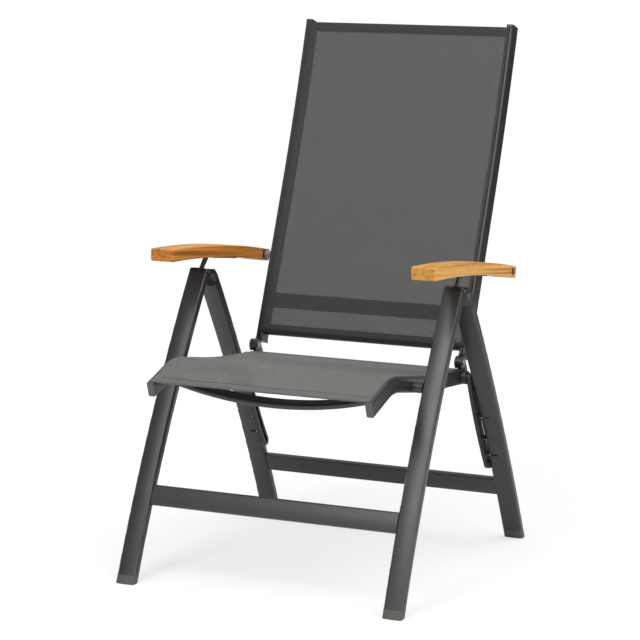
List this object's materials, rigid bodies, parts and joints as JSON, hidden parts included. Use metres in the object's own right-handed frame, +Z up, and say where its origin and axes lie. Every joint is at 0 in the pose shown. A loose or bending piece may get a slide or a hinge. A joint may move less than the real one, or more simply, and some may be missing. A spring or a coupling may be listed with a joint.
{
  "type": "reclining garden armchair",
  "caption": "Folding garden armchair with sling seat and tall reclining sling back, wooden arms on toothed racks and splayed tube legs with crossbars.",
  "frame": {"origin": "middle of the chair's footprint at the floor", "axes": "+Z up, +Y to the chair's rear, +X to its side that is on the right when seen from the front"},
  "size_m": [0.6, 0.7573, 1.0476],
  "materials": {
    "powder_coat": "anthracite powder coat with a faint satin sheen",
    "black_plastic": "moulded black plastic",
    "grey_plastic": "moulded grey plastic",
    "steel": "dark plated steel fasteners",
    "sling_mesh": "open woven coated mesh",
    "wood": "oiled hardwood with a fine grain"
  },
  "bodies": {
    "front_frame": {"front_leg_right": "powder_coat", "front_leg_left": "powder_coat", "front_foot_right": "black_plastic", "front_foot_left": "black_plastic", "front_top_fitting_right": "black_plastic", "front_top_fitting_left": "black_plastic", "arm_strut_right": "steel", "arm_strut_left": "steel", "front_crossbar": "powder_coat", "strut_pins": "steel", "strut_rivets": "steel", "seat_pivot_spacers": "grey_plastic", "seat_pivot_bolts": "steel", "seat_pivot_nuts": "steel"},
    "rear_frame": {"rear_leg_right": "powder_coat", "rear_leg_left": "powder_coat", "rear_foot_right": "black_plastic", "rear_foot_left": "black_plastic", "rear_top_fitting_right": "black_plastic", "rear_top_fitting_left": "black_plastic", "guide_rail_right": "black_plastic", "guide_rail_left": "black_plastic", "rear_crossbar": "powder_coat", "guide_spacers": "black_plastic", "guide_screws": "steel"},
    "seat": {"seat_rail_right": "powder_coat", "seat_rail_left": "powder_coat", "seat_front_cap_right": "black_plastic", "seat_front_cap_left": "black_plastic", "seat_rear_bracket_right": "black_plastic", "seat_rear_bracket_left": "black_plastic", "slider_knob_right": "black_plastic", "slider_knob_left": "black_plastic", "seat_front_stretcher": "powder_coat", "seat_rear_tube": "powder_coat", "slider_bolts": "steel", "seat_fabric": "sling_mesh"},
    "main_hinge": {"main_hinge_bolts": "steel"},
    "back_hinge": {"back_hinge_bolts": "steel"},
    "backrest": {"back_rail_right": "powder_coat", "back_rail_left": "powder_coat", "back_top_cap_right": "black_plastic", "back_top_cap_left": "black_plastic", "back_hinge_fitting_right": "black_plastic", "back_hinge_fitting_left": "black_plastic", "back_top_tube": "powder_coat", "back_bottom_tube": "powder_coat", "back_lumbar_tube": "powder_coat", "back_fabric": "sling_mesh"},
    "arm_bushes": {"arm_spacers": "grey_plastic"},
    "arm_right": {"arm_right": "wood", "arm_rack_right": "black_plastic", "arm_end_plate_right": "black_plastic", "arm_bolt_right": "steel"},
    "arm_left": {"arm_left": "wood", "arm_rack_left": "black_plastic", "arm_end_plate_left": "black_plastic", "arm_bolt_left": "steel"}
  },
  "joints": [
    {"name": "legs_fold", "type": "hinge", "parent": "front_frame", "child": "rear_frame", "pos_m": [0, -0.046, 0.552], "axis": [-1, 0, 0], "range_deg": [0, 54]},
    {"name": "seat_fold", "type": "hinge", "parent": "front_frame", "child": "seat", "pos_m": [0, -0.17336, 0.39396], "axis": [-1, 0, 0], "range_deg": [0, 95]},
    {"name": "back_swing", "type": "hinge", "parent": "front_frame", "child": "main_hinge", "pos_m": [0, -0.046, 0.552], "axis": [-1, 0, 0], "range_deg": [0, 95]},
    {"name": "back_level", "type": "hinge", "parent": "main_hinge", "child": "back_hinge", "pos_m": [0, 0.213, 0.554], "axis": [-1, 0, 0], "range_deg": [-95, 0]},
    {"name": "recline", "type": "hinge", "parent": "back_hinge", "child": "backrest", "pos_m": [0, 0.08564, 0.39596], "axis": [-1, 0, 0], "range_deg": [0, 27]},
    {"name": "arms_swing", "type": "hinge", "parent": "back_hinge", "child": "arm_bushes", "pos_m": [0, -0.10948, 0.17266], "axis": [-1, 0, 0], "range_deg": [0, 11.3]},
    {"name": "arm_right_fold", "type": "hinge", "parent": "arm_bushes", "child": "arm_right", "pos_m": [0, 0.18364, 0.56796], "axis": [-1, 0, 0], "range_deg": [0, 113.9]},
    {"name": "arm_left_fold", "type": "hinge", "parent": "arm_bushes", "child": "arm_left", "pos_m": [0, 0.18364, 0.56796], "axis": [-1, 0, 0], "range_deg": [0, 113.9]}
  ],
  "couplings": [
    {"joint": "seat_fold", "follows": "legs_fold", "ratio": 1.75},
    {"joint": "back_swing", "follows": "legs_fold", "ratio": 1.75},
    {"joint": "back_level", "follows": "legs_fold", "ratio": -1.75},
    {"joint": "arms_swing", "follows": "recline", "ratio": 0.4},
    {"joint": "arm_right_fold", "follows": "legs_fold", "ratio": 2.1},
    {"joint": "arm_left_fold", "follows": "legs_fold", "ratio": 2.1}
  ]
}
